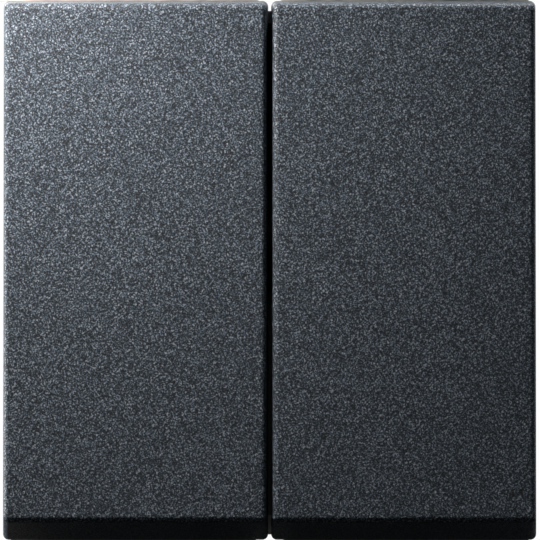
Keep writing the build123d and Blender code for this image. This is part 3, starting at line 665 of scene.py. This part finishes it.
# %% [markdown]
# ## The floor
#
# The ring's lower edge stands on a floor. Only the camera sees it pale: near the object it takes the shadow,
# and further out it fades to plain white, so that it has no visible edge. All other light sees it nearly
# black, which keeps the underside of the dark caps as deep as it is in a black-lined studio.

# %% Make the floor
FLOOR_GAP = 0.2 * MM
FLOOR_UP = cad_box[0].z - FLOOR_GAP
FLOOR_HALF = 0.24
FADE_START, FADE_END = 0.10, 0.22
start_clean()
bpy.ops.mesh.primitive_circle_add(vertices=96, radius=FLOOR_HALF, fill_type="NGON", location=(0, 0, FLOOR_UP))
floor = settle(bpy.context.object)
floor.name = "floor"

floor_paint, tree, shader, place = new_material("floor_paint")
distance = add(tree, "ShaderNodeVectorMath", {0: place}, operation="LENGTH").outputs["Value"]
fade = spread(tree, distance, FADE_START, FADE_END, 0.0, 1.0)
seen_by_camera = add(tree, "ShaderNodeLightPath").outputs["Is Camera Ray"]
seen = mix_colour(tree, seen_by_camera, rgb(0.02, 0.02, 0.02), rgb(0.86, 0.86, 0.86))
tree.links.new(seen, shader.inputs["Base Color"])
shader.inputs["Roughness"].default_value = 0.8
shader.inputs["Specular IOR Level"].default_value = 0.1
white = add(tree, "ShaderNodeEmission", {"Color": rgb(1, 1, 1), "Strength": 1.0}).outputs[0]
hidden = add(tree, "ShaderNodeBsdfTransparent").outputs[0]
edge = add(tree, "ShaderNodeMixShader", {0: seen_by_camera, 1: hidden, 2: white}).outputs[0]
floor_mix = add(tree, "ShaderNodeMixShader", {0: fade, 1: shader.outputs[0], 2: edge})
tree.links.new(floor_mix.outputs[0], tree.nodes["Material Output"].inputs["Surface"])
put_on(floor, floor_paint)

# %% [markdown]
# ## The light
#
# A small soft box stands close at the upper left, so the paint is brightest in that corner and falls off
# towards the lower right. Two more lamps stand close to the plane of the tilted faces, one at the left and
# one above. They hardly reach the faces themselves, and mostly light the rounded left and top edges. A very
# weak lamp fills in from the right, and two behind keep the back readable. The world is white to the camera,
# to clear material, and to mirrors that look past the object, and dim elsewhere.


# %% Make the lamps
def soft_box(name, place, target, size, power, colour=(1, 1, 1)):
    """A square area lamp that points at a target. It can't be seen itself."""
    lamp = bpy.data.lights.new(name, "AREA")
    lamp.shape, lamp.size, lamp.energy, lamp.color = "SQUARE", size, power, colour
    obj = bpy.data.objects.new(name, lamp)
    bpy.context.scene.collection.objects.link(obj)
    obj.location = place
    obj.rotation_euler = (Vector(target) - Vector(place)).to_track_quat("-Z", "Y").to_euler()
    obj.visible_camera = False
    return obj


soft_box("key", (-0.050, -0.043, 0.063), (-0.012, -0.013, 0), 0.02, 0.215, (1, 0.92, 0.86))
soft_box("side_light", (-0.377, -0.008, 0), (0, -0.01, 0), 0.05, 1.7)
soft_box("top_light", (0.1, 0.03, 0.37), (0, -0.01, 0.02), 0.05, 1.5)
soft_box("right_fill", (0.35, -0.4, 0.05), (0, 0, 0), 0.2, 0.05, (0.8, 0.95, 1))
soft_box("back_left", (-0.35, 0.45, 0.35), (0, 0, 0), 0.3, 1.2)
soft_box("back_right", (0.45, 0.35, 0.25), (0, 0, 0), 0.3, 0.9)

# %% Make the world
world = bpy.data.worlds.new("studio")
bpy.context.scene.world = world
world.use_nodes = True
tree = world.node_tree
tree.nodes.clear()
direction = add(tree, "ShaderNodeTexCoord").outputs["Generated"]
behind = add(tree, "ShaderNodeSeparateXYZ", {0: direction}).outputs["Y"]
backdrop = spread(tree, behind, 0.0, 0.5, 0.0, 1.0)
path = add(tree, "ShaderNodeLightPath").outputs
mirror = add(tree, "ShaderNodeMath", {0: path["Is Glossy Ray"], 1: backdrop}, operation="MULTIPLY").outputs[0]
shows = add(tree, "ShaderNodeMath", {0: path["Is Camera Ray"], 1: mirror}, operation="MAXIMUM").outputs[0]
shows = add(tree, "ShaderNodeMath", {0: shows, 1: path["Is Transmission Ray"]}, operation="MAXIMUM").outputs[0]
dim = add(tree, "ShaderNodeBackground", {"Color": rgb(0.75, 0.92, 1), "Strength": 0.015}).outputs[0]
plain = add(tree, "ShaderNodeBackground", {"Color": rgb(1, 1, 1), "Strength": 1.0}).outputs[0]
blend = add(tree, "ShaderNodeMixShader", {0: shows, 1: dim, 2: plain}).outputs[0]
add(tree, "ShaderNodeOutputWorld", {"Surface": blend})

# %% [markdown]
# ## The camera
#
# The view is straight on and from far away through a long lens, so that both caps fill the picture and their
# walls stay nearly out of sight. The bottom walls show as a narrow dark strip, because the lower ends of the
# rockers stand out.

# %% Make the camera
CAMERA_DISTANCE = 1.5
SENSOR = 36.0
VIEW_WIDTH = 55.15 * MM
CAPS_OUT = 0.008  # how far the caps' faces stand out from the wall
camera_data = bpy.data.cameras.new("camera")
camera = bpy.data.objects.new("camera", camera_data)
bpy.context.scene.collection.objects.link(camera)
camera_data.sensor_width = SENSOR
camera_data.lens = SENSOR * (CAMERA_DISTANCE - CAPS_OUT) / VIEW_WIDTH
camera_data.clip_start, camera_data.clip_end = 0.1, 20
camera.location = (0.035 * MM, -CAMERA_DISTANCE, -0.077 * MM)
camera.rotation_euler = (pi / 2, 0, 0)
bpy.context.scene.camera = camera
bpy.context.scene.view_settings.view_transform = "Standard"
print("lens", round(camera_data.lens), "mm")
